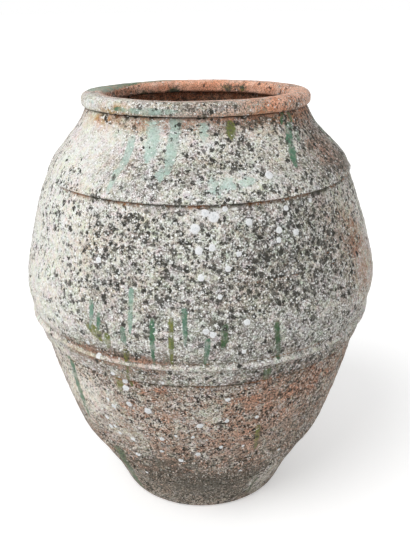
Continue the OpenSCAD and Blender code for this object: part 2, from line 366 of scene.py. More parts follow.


# How thickly each growth or stain, and the painted shade, covers the outer wall. "base" is heights and the cover at
# them, and each patch is angle, height, half width in degrees, half height, and what it adds
covers = {
    "crust": {
        "base": [(0.0, 0.45), (0.10, 0.42), (0.20, 0.50), (0.39, 0.55), (0.44, 0.72), (0.50, 0.88), (0.74, 0.84),
                 (0.83, 0.76), (0.858, 0.50), (0.873, 0.35)],
        "mottle": 0.18,
        "patches": [(-56, 0.66, 30, 0.20, 0.30), (36, 0.818, 9, 0.022, 0.30), (24, 0.757, 22, 0.013, 0.22),
                    (70, 0.80, 16, 0.05, -0.35), (60, 0.645, 10, 0.040, -0.25), (64, 0.59, 12, 0.050, -0.28),
                    (64, 0.54, 12, 0.03, -0.18), (60, 0.80, 12, 0.05, -0.25), (-30, 0.456, 22, 0.020, -0.55),
                    (42, 0.37, 12, 0.04, -0.15), (36, 0.84, 12, 0.016, 0.20),
                    (-1, 0.330, 8, 0.055, 0.30), (-46, 0.33, 14, 0.07, 0.40), (-55, 0.83, 20, 0.05, 0.50), (-10, 0.372, 20, 0.022, 0.18), (4, 0.422, 26, 0.012, 0.15),
                    (28, 0.36, 20, 0.03, -0.12), (30, 0.27, 20, 0.06, -0.20), (-16, 0.36, 14, 0.03, -0.15),
                    (40, 0.08, 12, 0.06, 0.35), (15, 0.770, 10, 0.022, 0.25), (0, 0.835, 40, 0.020, 0.22)],
    },
    "black": {
        "base": [(0.0, 0.30), (0.12, 0.35), (0.25, 0.45), (0.39, 0.50), (0.43, 0.30), (0.47, 0.34), (0.55, 0.50),
                 (0.60, 0.66), (0.72, 0.68), (0.745, 0.50), (0.80, 0.60), (0.85, 0.62), (0.873, 0.40)],
        "mottle": 0.20,
        "patches": [(-50, 0.83, 22, 0.045, -0.50), (-64, 0.62, 15, 0.20, -0.30), (-45, 0.50, 18, 0.05, -0.20),
                    (-12, 0.67, 15, 0.050, 0.20), (4, 0.79, 14, 0.030, 0.25), (31, 0.66, 18, 0.080, 0.50),
                    (28, 0.58, 14, 0.040, 0.20), (58, 0.84, 14, 0.050, 0.35), (72, 0.57, 12, 0.12, -0.45),
                    (38, 0.43, 12, 0.020, 0.35),  (46, 0.27, 12, 0.060, 0.20), (10, 0.50, 12, 0.02, 0.10),
                    (-26, 0.462, 18, 0.012, 0.30), (24, 0.43, 12, 0.014, 0.30),
                    (-14, 0.437, 8, 0.008, 0.40), (15, 0.772, 9, 0.018, -0.50), (-28, 0.700, 9, 0.03, 0.16),
                    (-32, 0.80, 14, 0.03, -0.25), (24, 0.84, 8, 0.014, -0.25), (62, 0.59, 9, 0.07, -0.50),
                    (-32, 0.66, 16, 0.09, -0.28), (-46, 0.32, 14, 0.07, -0.30), (-14, 0.852, 7, 0.02, -0.40)],
    },
    # soot: a dark film of soot, darker towards the foot; on the right of the belly and shoulder it is partly painted
    # shade
    "soot": {
        "base": [(0.0, 0.30), (0.03, 0.46), (0.14, 0.58), (0.19, 0.50), (0.25, 0.20), (0.30, 0.08), (0.44, 0.05),
                 (0.46, 0.12), (0.60, 0.12), (0.76, 0.08), (0.84, 0.15)],
        "mottle": 0.16,
        "patches": [(48, 0.07, 14, 0.06, -0.45), (5, 0.01, 16, 0.012, -0.30), (-56, 0.10, 16, 0.08, -0.30),
                    (-4, 0.10, 22, 0.05, 0.28), (62, 0.85, 16, 0.04, 0.14), (70, 0.76, 12, 0.05, 0.30),
                    (45, 0.27, 14, 0.06, 0.25), (34, 0.415, 10, 0.012, 0.30), (36, 0.62, 20, 0.10, 0.05), (56, 0.69, 9, 0.05, 0.22),
                    (26, 0.36, 16, 0.03, 0.22), (52, 0.765, 12, 0.02, 0.25), (64, 0.60, 12, 0.09, -0.55), (-52, 0.66, 28, 0.25, -0.16),
                    (28, 0.862, 14, 0.010, 0.30), (-20, 0.16, 14, 0.04, 0.10), (-28, 0.463, 18, 0.012, 0.28)],
    },
    "warm": {
        "base": [(0.0, 0.20), (0.12, 0.25), (0.22, 0.44), (0.40, 0.54), (0.44, 0.24), (0.50, 0.06), (0.74, 0.06),
                 (0.835, 0.12), (0.850, 0.45), (0.873, 0.60)],
        "mottle": 0.20,
        "patches": [(61, 0.650, 11, 0.045, 0.60), (64, 0.59, 13, 0.055, 0.74), (64, 0.53, 14, 0.04, 0.64),
                    (60, 0.80, 12, 0.05, 0.45), (54, 0.69, 8, 0.03, 0.35), (27, 0.838, 8, 0.012, 0.40),
                    (-42, 0.858, 26, 0.010, 0.40), (-30, 0.455, 20, 0.018, 0.45), (24, 0.355, 14, 0.03, 0.15),
                    (-42, 0.40, 10, 0.03, 0.35), (42, 0.36, 18, 0.05, 0.32),
                    (40, 0.85, 10, 0.016, 0.35), (44, 0.09, 12, 0.04, 0.25), (-18, 0.33, 12, 0.05, 0.20),
                    (2, 0.805, 4, 0.014, 0.35), (12, 0.79, 3, 0.014, 0.40), (-36, 0.795, 3, 0.016, 0.35),
                    (-24, 0.79, 2.5, 0.02, 0.30), (-14, 0.46, 14, 0.014, 0.12), (-10, 0.388, 34, 0.014, 0.28)],
    },
    # grey: a broad darkening of the crust, light on the left and deeper towards the right and round the band: painted
    # shade, with greyer lichen
    "grey": {
        "base": [(0.0, 0.10), (0.36, 0.25), (0.41, 0.70), (0.46, 0.65), (0.52, 0.60), (0.60, 0.50), (0.70, 0.35),
                 (0.80, 0.28), (0.873, 0.10)],
        "mottle": 0.15,
        "patches": [(-60, 0.60, 24, 0.28, -0.50), (-45, 0.36, 16, 0.08, -0.25), (22, 0.48, 34, 0.10, 0.25),
                    (30, 0.77, 28, 0.06, 0.30), (12, 0.735, 10, 0.02, -0.25), (-16, 0.735, 10, 0.02, -0.1),
                    (75, 0.55, 14, 0.12, -0.35), (2, 0.71, 8, 0.03, -0.2), (8, 0.66, 17, 0.10, 0.25),
                    (40, 0.66, 16, 0.09, 0.12), (40, 0.79, 14, 0.05, 0.12), (15, 0.775, 10, 0.02, -0.4), (-17, 0.765, 13, 0.06, 0.30),
                    (6, 0.57, 16, 0.04, 0.25), (62, 0.59, 9, 0.08, -0.4), (-35, 0.74, 24, 0.06, -0.15),
                    (-28, 0.79, 12, 0.04, 0.40)],
    },
    "ochre": {
        "base": [(0.0, 0.0), (0.90, 0.0)],
        "mottle": 0.10,
        "patches": [(60, 0.655, 7, 0.05, 0.35), (-44, 0.864, 16, 0.008, 0.60), (46, 0.862, 18, 0.010, 0.55),
                    (-52, 0.862, 9, 0.014, 0.60), (-36, 0.66, 7, 0.05, 0.35), (-44, 0.745, 7, 0.014, 0.35),
                    (-30, 0.80, 5, 0.012, 0.30), (-26, 0.853, 8, 0.008, 0.45), (18, 0.60, 8, 0.012, 0.25),
                    (-34, 0.448, 12, 0.010, 0.50), (10, 0.575, 10, 0.012, 0.30)],
    },
}


def coverValue(cover, angle, height, points, seed):
    # A cover's share at each point: its base by height, its patches as soft ovals, and mottling
    baseHeights, baseValues = np.array(cover["base"]).T
    value = np.interp(height, baseHeights, baseValues)
    degrees = np.degrees(angle)
    for patchAngle, patchHeight, wide, tall, add in cover["patches"]:
        turn = (degrees - patchAngle + 180) % 360 - 180
        value = value + add * np.exp(-(turn / wide) ** 2 - ((height - patchHeight) / tall) ** 2)
    value = value + cover["mottle"] * clayNoise(points, 0.11, seed, 2)
    unseen = smoothStep(72, 95, np.abs((degrees + 180) % 360 - 180))
    return np.clip(value + unseen * 0.35 * clayNoise(points, 0.24, seed + 50, 2), 0, 1)


def ringWander(angle, seed):
    # A slow wave round the jar, from about -1 to 1: a few sines with seeded phases
    phases = np.random.default_rng(seed).uniform(0, 2 * math.pi, 4)
    counts = (1, 2, 5, 9)
    weights = (0.4, 0.3, 0.2, 0.15)
    return sum(w * np.sin(n * angle + p) for n, w, p in zip(counts, weights, phases))


ledgeLip = {"low": 0.740, "step": 0.004, "run": 0.034}


def fadedShare(angle, fades):
    # 1 at the angle where a line is smeared over, falling to 0 either side: fades is angle and half width
    turn = (np.degrees(angle) - fades[0] + 180) % 360 - 180
    return np.exp(-(turn / fades[1]) ** 4)


def outerRelief(points, angle, height):
    # How far the outer skin stands out of the turned outline
    u = unevenness
    relief = u["swell"] * clayNoise(points, 0.30, 3, 2)
    lip = np.clip(1 - (height - ledgeLip["low"]) / ledgeLip["run"], 0, 1) ** 2 * (height > ledgeLip["low"])
    relief -= 0.9 * ledgeLip["step"] * lip * fadedShare(angle, edgeLines["ledge"]["fades"])
    relief += u["dent"] * clayNoise(points, 0.055, 5, 2)
    relief += u["rough"] * clayNoise(points, 0.011, 7, 3)
    for turnAngle, level, wide, tall, rise in lumps:
        turn = (np.degrees(angle) - turnAngle + 180) % 360 - 180
        relief += rise * np.exp(-(turn / wide) ** 2 - ((height - level) / tall) ** 2)
    wander = clayNoise(points, 0.16, 9, 2)
    onBelly = smoothStep(0.44, 0.48, height) * (1 - smoothStep(0.70, 0.735, height))
    onLower = smoothStep(0.20, 0.24, height) * (1 - smoothStep(0.37, 0.40, height))
    rings = np.sin(2 * math.pi * height / u["throwingGap"] + 1.3 * wander)
    relief += u["throwing"] * (onBelly + 0.8 * onLower) * rings * (0.6 + 0.6 * wander)
    onFoot = smoothStep(0.075, 0.105, height) * (1 - smoothStep(0.185, 0.225, height))
    ridges = np.sin(2 * math.pi * height / u["footRidgeGap"] + 2.0 * wander)
    relief += u["footRidge"] * onFoot * ridges
    # recess marks hollows for dirt and painted shade: the troughs of the foot ridges and the throwing rings, the
    # grooves, the stage lines and the pits
    recess = 0.45 * onFoot * np.clip(-ridges, 0, 1) ** 2 * np.clip(0.6 + wander, 0, 1) + 0.16 * (onBelly + onLower) * np.clip(-rings, 0, 1) ** 2
    for row, depth, half in grooves:
        level = onJar(204, row)[1] + 0.0020 * ringWander(angle, row)
        strength = np.clip(0.6 + 0.7 * ringWander(angle, row + 500), 0.1, 1.2)
        line = strength * np.exp(-((height - level) / half) ** 2)
        relief -= depth * line
        recess += depth / 0.0060 * line
    for line in edgeLines.values():
        away = np.where(height < line["height"], line["height"] - height, height - line["height"])
        reach = np.where(height < line["height"], line["below"], line["above"])
        share = np.clip(1 - away / reach, 0, 1) ** line.get("power", 1)
        if "fades" in line:
            share = share * (1 - fadedShare(angle, line["fades"]))
        relief -= line["depth"] * share
        recess += line["dirtAndShade"] * share * (0.75 + 0.35 * wander)
    for turnAngle, level, size in seenPits:
        centre = turnedPoints(math.radians(turnAngle), wallRadius(np.array(level)), np.array(level))
        hole = np.clip(1.3 - np.linalg.norm(points - centre, axis=1) / size, 0, 1)
        relief -= 0.6 * size * hole
        recess += 1.3 * hole
    return relief, np.clip(recess, 0, 1)


def innerRelief(points, angle, height):
    # Inside, the thrower's rings were never smoothed: a wandering wave, with soft dents
    wave = np.sin(2 * math.pi * height / 0.024 + 2.0 * clayNoise(points, 0.20, 31, 2))
    return 0.0014 * wave + 0.0012 * clayNoise(points, 0.05, 33, 2)


def evenSteps(start, end, step):
    return np.linspace(start, end, max(2, int(math.ceil(abs(end - start) / step)) + 1))


def corner(centre, radius, fromAngle, toAngle, steps):
    # Rounded corner in the radius-height plane, round a centre
    turn = np.radians(np.linspace(fromAngle, toAngle, steps + 1))
    return np.array(centre) + radius * np.stack([np.cos(turn), np.sin(turn)], axis=-1)


def resample(points, step):
    # The same line with points evenly spaced along it
    run = np.concatenate([[0], np.cumsum(np.linalg.norm(np.diff(points, axis=0), axis=1))])
    at = np.linspace(0, run[-1], max(2, int(math.ceil(run[-1] / step)) + 1))
    return np.stack([np.interp(at, run, points[:, 0]), np.interp(at, run, points[:, 1])], axis=-1)


def section(points, outer=1.0, inner=0.0):
    # A stretch of a piece's cross-section, and how much of the outer and inner relief it takes.
    # Either share may be a pair, for the stretch's start and end
    count = len(points)
    outerShare = np.linspace(*outer, count) if isinstance(outer, tuple) else np.full(count, outer)
    innerShare = np.linspace(*inner, count) if isinstance(inner, tuple) else np.full(count, inner)
    return np.column_stack([points, outerShare, innerShare])


def wallDirection(height):
    # Unit vector out of the plain wall, as radius and height
    lean = (wallRadius(height + 0.0005) - wallRadius(height - 0.0005)) / 0.001
    size = np.sqrt(1 + lean ** 2)
    return 1 / size, -lean / size


def turnedPiece(name, sections, material, poles=False, directions=None, marks=None):
    # A turned ring: its cross-section, a closed line of radius and height that runs up the outside and down
    # the inside, is carried round the axis, and each point is then moved by the relief. With poles, the
    # cross-section is an open line from the axis to the axis, and a single point closes each end
    rows = np.concatenate(sections)
    apart = np.linalg.norm(np.diff(rows[:, :2], axis=0), axis=1) > 1e-6
    rows = rows[np.concatenate([[True], apart])]
    around = meshSteps["around"]
    count = len(rows)
    angle = np.tile(2 * math.pi * np.arange(around) / around, count)
    radius, height, outerShare, innerShare = (np.repeat(rows[:, k], around) for k in range(4))
    base = turnedPoints(angle, radius, height)
    inWall = np.clip(height, 0.001, 0.872)
    pushOut, pushUp = wallDirection(inWall)
    if directions is not None:
        pushOut, pushUp = (np.repeat(column, around) for column in directions(rows[:, :2]).T)
    outerMove, innerMove, tone, recess = (np.zeros(len(base)) for k in range(4))
    run, spot = (np.full(len(base), -1.0) for k in range(2))
    isOuter = outerShare > 0
    isInner = innerShare > 0
    if isOuter.any():
        skin = base[isOuter], angle[isOuter], height[isOuter]
        relief, recess[isOuter] = outerRelief(*skin)
        outerMove[isOuter] = outerShare[isOuter] * relief
        run[isOuter], tone[isOuter] = runMask(*skin)
        spot[isOuter] = rosetteMask(*skin)
    if isInner.any():
        innerMove[isInner] = innerShare[isInner] * innerRelief(base[isInner], angle[isInner], height[isInner])
    if marks is None:
        outerMove += outerShare * unevenness["glaze"] * smoothStep(-0.05, 0.5, run)
        outerMove += outerShare * unevenness["rosette"] * smoothStep(0.0, 0.35, spot)
    move = outerMove - innerMove
    if directions is not None:
        move = outerMove + innerMove
    points = turnedPoints(angle, radius + move * pushOut, height + move * pushUp)
    points = settleMouth(points)
    points[:, 2] = np.maximum(points[:, 2], 0.0)

    values = {key: coverValue(covers[key], angle, height, base, 100 + 7 * i) for i, key in enumerate(covers)}
    values["run"] = run
    values["tone"] = tone
    values["spot"] = spot
    values["recess"] = recess
    # worn: pale crust worn onto the bead, with fewer black spots beside it; the pale line is also a painted highlight
    # along the bead
    values["worn"] = 1.3 * np.clip(1 - np.abs(height - edgeLines["bead"]["height"]) / 0.0054, 0, 1) * (outerShare > 0)
    outside = np.clip(outerShare, 0, 1)
    values["crust"] = values["crust"] * outside + 0.10 * (1 - outside)
    values["black"] = values["black"] * outside + 0.12 * (1 - outside)
    values["black"] *= np.clip(np.abs(height - edgeLines["bead"]["height"]) / 0.010, 0.1, 1)
    values["warm"] = values["warm"] * outside + 0.95 * (1 - outside)
    # Inside, the dark film is thickest just below the neck and thins towards the mouth: painted shade of the jar's
    # interior
    values["soot"] = values["soot"] * outside + np.interp(height, [0.60, 0.80, 0.845, 0.865], [0.55, 0.88, 0.60, 0.30]) * (1 - outside)
    if marks is not None:
        marks(values, rows, angle, base)

    step = np.arange(around)
    last = count if not poles else count - 1
    low = (np.arange(last)[:, None] * around + step).ravel()
    lowNext = (np.arange(last)[:, None] * around + (step + 1) % around).ravel()
    high = ((np.arange(last)[:, None] + 1) % count * around + step).ravel()
    highNext = ((np.arange(last)[:, None] + 1) % count * around + (step + 1) % around).ravel()
    faces = np.stack([low, lowNext, highNext, high], axis=-1)
    corners = faces.ravel()
    starts = np.arange(len(faces)) * 4
    sizes = np.full(len(faces), 4)
    if poles:
        ends = np.array([[0, 0, rows[0, 1]], [0, 0, rows[-1, 1]]])
        points = np.concatenate([points, ends])
        first = len(points) - 2
        bottomFan = np.stack([np.full(around, first), (step + 1) % around, step], axis=-1)
        topRow = (count - 1) * around
        topFan = np.stack([np.full(around, first + 1), topRow + step, topRow + (step + 1) % around], axis=-1)
        fans = np.concatenate([bottomFan, topFan])
        starts = np.concatenate([starts, len(corners) + np.arange(len(fans)) * 3])
        sizes = np.concatenate([sizes, np.full(len(fans), 3)])
        corners = np.concatenate([corners, fans.ravel()])
        for key in values:
            values[key] = np.concatenate([values[key], [values[key][0], values[key][-1]]])

    mesh = bpy.data.meshes.new(name)
    mesh.vertices.add(len(points))
    mesh.vertices.foreach_set("co", points.astype(np.float32).ravel())
    mesh.loops.add(len(corners))
    mesh.loops.foreach_set("vertex_index", corners.astype(np.int32))
    mesh.polygons.add(len(starts))
    mesh.polygons.foreach_set("loop_start", starts.astype(np.int32))
    mesh.update(calc_edges=True)
    mesh.validate()
    mesh.shade_smooth()
    mesh.set_sharp_from_angle(angle=math.radians(50))
    for key, value in values.items():
        attribute = mesh.attributes.new(key, "FLOAT", "POINT")
        attribute.data.foreach_set("value", value.astype(np.float32))
    piece = bpy.data.objects.new(name, mesh)
    bpy.context.collection.objects.link(piece)
    mesh.materials.append(material)
    print("stage:", name, len(mesh.vertices), "points,", len(mesh.polygons), "faces")
    return piece


# Materials

def fromHex(text):
    # A colour written as sRGB hex digits, as the linear numbers that shaders take
    parts = [int(text[i:i + 2], 16) / 255 for i in (0, 2, 4)]
    return tuple(c / 12.92 if c <= 0.04045 else ((c + 0.055) / 1.055) ** 2.4 for c in parts) + (1.0,)


def addNode(tree, kind, values=None, **settings):
    # Adds a node, sets its settings, and fills its inputs with numbers, colours or links
    node = tree.nodes.new(kind)
    for key, value in settings.items():
        setattr(node, key, value)
    for key, value in (values or {}).items():
        if isinstance(value, bpy.types.NodeSocket):
            tree.links.new(value, node.inputs[key])
        else:
            node.inputs[key].default_value = value
    return node


def maths(tree, operation, a, b=0.0, clamp=False):
    return addNode(tree, "ShaderNodeMath", {0: a, 1: b}, operation=operation, use_clamp=clamp).outputs[0]


def ramp(tree, value, low, high, start=0.0, end=1.0, smooth=True):
    # start below low, end above high, and smooth between
    values = {"Value": value, "From Min": low, "From Max": high, "To Min": start, "To Max": end}
    kind = "SMOOTHSTEP" if smooth else "LINEAR"
    return addNode(tree, "ShaderNodeMapRange", values, interpolation_type=kind).outputs[0]


def mixColor(tree, factor, a, b, blend="MIX"):
    node = addNode(tree, "ShaderNodeMix", {0: factor, 6: a, 7: b}, data_type="RGBA", blend_type=blend)
    return node.outputs[2]


def scaled(tree, vector, factor):
    # A colour or vector times a number
    return addNode(tree, "ShaderNodeVectorMath", {0: vector, "Scale": factor}, operation="SCALE").outputs[0]


def noise(tree, place, scale, detail=2.0, roughness=0.5, offset=0.0, color=False):
    values = {"Vector": place, "Scale": scale, "Detail": detail, "Roughness": roughness}
    if offset:
        moved = addNode(tree, "ShaderNodeVectorMath", {0: place, 1: (offset, offset, offset)}, operation="ADD")
        values["Vector"] = moved.outputs[0]
    return addNode(tree, "ShaderNodeTexNoise", values).outputs[1 if color else 0]


def centred(tree, value, strength):
    # A noise about nought: (value - 0.5) times strength
    return maths(tree, "MULTIPLY", maths(tree, "SUBTRACT", value, 0.5), strength)


def makeGroup(name, inputs, outputs):
    # A shader node group with named sockets: returns the group, its input sockets and its output node
    group = bpy.data.node_groups.new(name, "ShaderNodeTree")
    kinds = {"color": "NodeSocketColor", "value": "NodeSocketFloat", "vector": "NodeSocketVector"}
    for title, kind in inputs.items():
        group.interface.new_socket(name=title, in_out="INPUT", socket_type=kinds[kind])
    for title, kind in outputs.items():
        group.interface.new_socket(name=title, in_out="OUTPUT", socket_type=kinds[kind])
    start = group.nodes.new("NodeGroupInput")
    end = group.nodes.new("NodeGroupOutput")
    return group, start.outputs, end


def makeFiredClay():
    # Fired clay: two clay colours mottled at hand size, then pale and dark grit a few millimetres across
    group, given, end = makeGroup(
        "firedClay",
        {"Place": "vector", "Cool": "color", "Hot": "color", "Warmth": "value", "Grain": "value"},
        {"Color": "color", "Height": "value"})
    place = given["Place"]
    mottle = noise(group, place, 24, 4, 0.62)
    warmth = maths(group, "ADD", given["Warmth"], centred(group, mottle, 1.9), clamp=True)
    color = mixColor(group, warmth, given["Cool"], given["Hot"])
    grain = noise(group, place, 370, 3, 0.8, 3.1)
    coarse = noise(group, place, 95, 3, 0.65, 6.4)
    shade = maths(group, "ADD", centred(group, ramp(group, grain, 0.34, 0.66), given["Grain"]),
                  centred(group, coarse, 0.55))
    group.links.new(scaled(group, color, maths(group, "ADD", 1.0, shade)), end.inputs["Color"])
    group.links.new(grain, end.inputs["Height"])
    return group


def makePaleCrust():
    # Pale lime and lichen crust: grains between a light and a shaded tint, tinted green and rose in places,
    # with white flecks. It covers the colour below where a ragged noise stays under its share, so that its
    # edge breaks up into single grains
    group, given, end = makeGroup(
        "paleCrust",
        {"Place": "vector", "Color": "color", "Light": "color", "Shaded": "color", "Share": "value", "Grey": "value",
         "Fleck": "value", "Grit": "value"},
        {"Color": "color", "Mask": "value", "Height": "value"})
    place = given["Place"]
    grit = noise(group, place, 310, 3, 0.8, 1.7)
    smooth = maths(group, "SUBTRACT", 1.0, given["Grit"])
    ragged = maths(group, "ADD",
                   maths(group, "MULTIPLY", noise(group, place, 38, 5, 0.7), smooth),
                   maths(group, "MULTIPLY", grit, given["Grit"]))
    level = ramp(group, given["Share"], 0.0, 1.0, 0.36, 0.66, smooth=False)
    mask = ramp(group, maths(group, "SUBTRACT", level, ragged), -0.045, 0.045)
    blotch = noise(group, place, 60, 4, 0.6, 5.3)
    grains = maths(group, "ADD", maths(group, "MULTIPLY", noise(group, place, 420, 2, 0.75, 8.2), 0.48),
                   maths(group, "MULTIPLY", noise(group, place, 225, 4, 0.8, 14.6), 0.52))
    tint = maths(group, "ADD", grains, centred(group, blotch, 0.30))
    tint = maths(group, "ADD", tint, ramp(group, given["Share"], 0.5, 1.1, -0.03, 0.05, smooth=False))
    # Grey darkens the crust's grains: painted shade, with greyer lichen
    tint = maths(group, "SUBTRACT", tint, maths(group, "MULTIPLY", given["Grey"], 0.07))
    shaded = scaled(group, given["Shaded"], ramp(group, given["Grey"], 0.0, 1.0, 1.30, 0.50, smooth=False))
    light = scaled(group, given["Light"], ramp(group, given["Grey"], 0.0, 1.0, 0.95, 0.83, smooth=False))
    crust = mixColor(group, ramp(group, tint, 0.40, 0.55), shaded, light)
    for scale, offset, strength in ((26, 21.7, 0.24), (95, 33.1, 0.36)):
        hue = noise(group, place, scale, 3, 0.6, offset, color=True)
        hue = addNode(group, "ShaderNodeVectorMath", {0: hue, 1: (0.5, 0.5, 0.5)}, operation="SUBTRACT").outputs[0]
        hue = addNode(group, "ShaderNodeVectorMath", {0: scaled(group, hue, strength), 1: (1.0, 1.006, 0.982)},
                      operation="ADD").outputs[0]
        crust = addNode(group, "ShaderNodeVectorMath", {0: crust, 1: hue}, operation="MULTIPLY").outputs[0]
    fleck = ramp(group, noise(group, place, 260, 1.5, 0.6, 11.3), 0.57, 0.64, 0.0, given["Fleck"])
    crust = mixColor(group, fleck, crust, (0.92, 0.93, 0.92, 1))
    group.links.new(mixColor(group, mask, given["Color"], crust), end.inputs["Color"])
    group.links.new(mask, end.inputs["Mask"])
    height = maths(group, "ADD", mask, maths(group, "MULTIPLY", tint, 0.9))
    group.links.new(height, end.inputs["Height"])
    return group


def makeLichenSpots():
    # Dark lichen in separate spots: cells scattered at the given scale each hold one with some chance, with
    # its own radius and darkness, and noise pulls its edge about. Chances gather in drifts a hand wide and
    # in clusters a finger wide
    group, given, end = makeGroup(
        "lichenSpots",
        {"Place": "vector", "Color": "color", "Dark": "color", "Share": "value", "Scale": "value", "Drift": "value"},
        {"Color": "color", "Mask": "value"})
    place, scale = given["Place"], given["Scale"]
    wander = addNode(group, "ShaderNodeTexNoise", {
        "Vector": place, "Scale": maths(group, "MULTIPLY", scale, 1.9), "Detail": 3.0, "Roughness": 0.7}).outputs[1]
    pull = addNode(group, "ShaderNodeVectorMath", {0: wander, 1: (0.5, 0.5, 0.5)}, operation="SUBTRACT").outputs[0]
    pull = scaled(group, pull, maths(group, "DIVIDE", 1.4, scale))
    moved = addNode(group, "ShaderNodeVectorMath", {0: place, 1: pull}, operation="ADD").outputs[0]
    cells = addNode(group, "ShaderNodeTexVoronoi", {"Vector": moved, "Scale": scale, "Randomness": 1.0})
    lots = addNode(group, "ShaderNodeSeparateColor", {0: cells.outputs["Color"]}).outputs
    drift = maths(group, "ADD", noise(group, place, 17, 2, 0.5, 2.9), noise(group, place, 46, 3, 0.6, 5.7))
    drift = maths(group, "MULTIPLY", maths(group, "SUBTRACT", drift, 1.0), given["Drift"])
    chance = maths(group, "SUBTRACT", maths(group, "ADD", given["Share"], drift), lots[0])
    radius = maths(group, "MULTIPLY", ramp(group, chance, 0.0, 0.12), ramp(group, lots[1], 0, 1, 0.26, 0.61, smooth=False))
    mask = ramp(group, maths(group, "SUBTRACT", radius, cells.outputs["Distance"]), -0.03, 0.07)
    depth = ramp(group, lots[2], 0, 1, 0.70, 1.0, smooth=False)
    mask = maths(group, "MULTIPLY", mask, depth)
    grain = noise(group, place, 450, 2, 0.7, 12.0)
    dark = scaled(group, given["Dark"], ramp(group, grain, 0.3, 0.7, 0.65, 1.45, smooth=False))
    group.links.new(mixColor(group, mask, given["Color"], dark), end.inputs["Color"])
    group.links.new(mask, end.inputs["Mask"])
    return group


def makeGlazeRuns():
    # Worn runs of green glaze: a tone from mint through emerald and olive to dark green, streaked along
    # its length, thin in places, and broken where the clay's skin shows through
    group, given, end = makeGroup(
        "glazeRuns",
        {"Place": "vector", "Color": "color", "Run": "value", "Tone": "value", "Cover": "value"},
        {"Color": "color", "Mask": "value"})
    place = given["Place"]
    ragged = centred(group, noise(group, place, 300, 3, 0.75, 2.2), 1.5)
    worn = centred(group, noise(group, place, 85, 3, 0.6, 7.7), 1.3)
    edge = maths(group, "ADD", given["Run"], maths(group, "ADD", ragged, worn))
    mask = ramp(group, edge, -0.24, 0.12)
    long = addNode(group, "ShaderNodeVectorMath", {0: place, 1: (1, 1, 0.10)}, operation="MULTIPLY").outputs[0]
    streak = noise(group, long, 330, 2, 0.6)
    value = maths(group, "ADD", given["Tone"], centred(group, streak, 0.30))
    tones = addNode(group, "ShaderNodeValToRGB", {0: value})
    stops = [(0.0, "b7d3c9"), (0.20, "82a997"), (0.36, "40735a"), (0.56, "4f6e3b"), (0.76, "7a7830"), (1.0, "305634")]
    elements = tones.color_ramp.elements
    elements[0].position, elements[0].color = stops[0][0], fromHex(stops[0][1])
    elements[1].position, elements[1].color = stops[-1][0], fromHex(stops[-1][1])
    for position, shade in stops[1:-1]:
        elements.new(position).color = fromHex(shade)
    shade = ramp(group, noise(group, place, 240, 3, 0.7, 4.9), 0.3, 0.7, 0.72, 1.25, smooth=False)
    shade = maths(group, "MULTIPLY", shade, ramp(group, streak, 0.3, 0.7, 0.85, 1.12, smooth=False))
    glaze = scaled(group, tones.outputs[0], shade)
    thin = ramp(group, noise(group, place, 60, 2, 0.5, 9.4), 0.35, 0.6, 0.55, 1.0)
    full = maths(group, "MULTIPLY", given["Cover"], ramp(group, given["Tone"], 0.08, 0.35, 0.74, 1.0, smooth=False))
    cover = maths(group, "MULTIPLY", maths(group, "MULTIPLY", mask, thin), full)
    group.links.new(mixColor(group, cover, given["Color"], glaze), end.inputs["Color"])
    group.links.new(cover, end.inputs["Mask"])
    return group


def makeWhiteRosettes():
    # White lichen rosettes: round, a little ragged, with a greyer middle inside the pale margin
    group, given, end = makeGroup(
        "whiteRosettes",
        {"Place": "vector", "Color": "color", "White": "color", "Grey": "color", "Spot": "value"},
        {"Color": "color", "Mask": "value"})
    place = given["Place"]
    edge = maths(group, "ADD", given["Spot"], centred(group, noise(group, place, 230, 3, 0.65, 3.9), 0.9))
    mask = ramp(group, edge, 0.04, 0.22)
    middle = ramp(group, given["Spot"], 0.25, 0.70)
    grain = ramp(group, noise(group, place, 420, 2, 0.7, 1.1), 0.40, 0.66)
    body = mixColor(group, maths(group, "MULTIPLY", middle, grain), given["White"], given["Grey"])
    group.links.new(mixColor(group, mask, given["Color"], body), end.inputs["Color"])
    group.links.new(mask, end.inputs["Mask"])
    return group


def makeGrimeAndShade():
    # Soot and damp with painted shade: a dark film, thickest between the grains, that also fills lines and hollows with
    # dirt and painted shade
    group, given, end = makeGroup(
        "grimeAndShade",
        {"Place": "vector", "Color": "color", "DirtAndShade": "color", "Moss": "color", "Rust": "color", "Share": "value",
         "Recess": "value"},
        {"Color": "color", "Mask": "value"})
    place = given["Place"]
    grain = noise(group, place, 340, 3, 0.78, 9.1)
    ragged = maths(group, "ADD", maths(group, "MULTIPLY", noise(group, place, 40, 4, 0.65, 4.8), 0.45),
                   ramp(group, noise(group, place, 175, 3, 0.75, 27.4), 0.34, 0.66, 0.08, 0.47))
    # film: soot, and painted shade where its share is painted shade
    level = ramp(group, given["Share"], 0.0, 1.0, 0.24, 0.78, smooth=False)
    film = maths(group, "MULTIPLY", ramp(group, maths(group, "SUBTRACT", level, ragged), -0.11, 0.11),
                 ramp(group, given["Share"], 0.0, 0.15))
    # line: dirt and painted shade in the lines and hollows
    line = ramp(group, maths(group, "ADD", given["Recess"], centred(group, grain, 1.1)), 0.18, 0.75)
    mask = maths(group, "MAXIMUM", maths(group, "MULTIPLY", film, 0.80), maths(group, "MULTIPLY", line, 0.85))
    rust = ramp(group, noise(group, place, 21, 3, 0.6, 17.3), 0.42, 0.60)
    lineDirtAndShade = mixColor(group, rust, given["Moss"], given["Rust"])
    dirtAndShade = mixColor(group, ramp(group, maths(group, "SUBTRACT", line, film), 0.0, 0.4), given["DirtAndShade"], lineDirtAndShade)
    dirtAndShade = scaled(group, dirtAndShade, ramp(group, grain, 0.38, 0.64, 0.25, 2.6, smooth=False))
    group.links.new(mixColor(group, mask, given["Color"], dirtAndShade), end.inputs["Color"])
    group.links.new(mask, end.inputs["Mask"])
    return group


groups = {
    "clay": makeFiredClay(), "crust": makePaleCrust(), "spots": makeLichenSpots(),
    "glaze": makeGlazeRuns(), "rosettes": makeWhiteRosettes(), "grimeAndShade": makeGrimeAndShade(),
}

